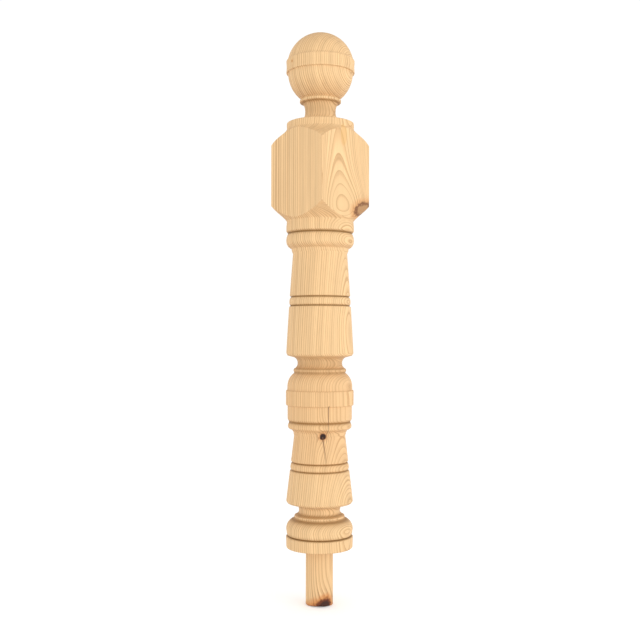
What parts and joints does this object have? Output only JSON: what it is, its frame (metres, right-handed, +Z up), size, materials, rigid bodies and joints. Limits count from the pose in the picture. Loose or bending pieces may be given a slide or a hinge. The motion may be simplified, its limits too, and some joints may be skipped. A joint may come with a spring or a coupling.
{
  "type": "newel post",
  "caption": "Turned pine newel post with a square block for the rails, a ball cap on a thin neck and a spigot below a moulded base.",
  "frame": {"origin": "on the turning axis, in the plane of the shoulder from which the spigot drops", "axes": "+Z up along the turning axis towards the ball cap, +X and +Y square to the faces of the block"},
  "size_m": [0.09, 0.09, 0.7342],
  "materials": {
    "pine": "smooth sanded, unfinished"
  },
  "bodies": {
    "root": {"newel_post": "pine"}
  },
  "joints": []
}
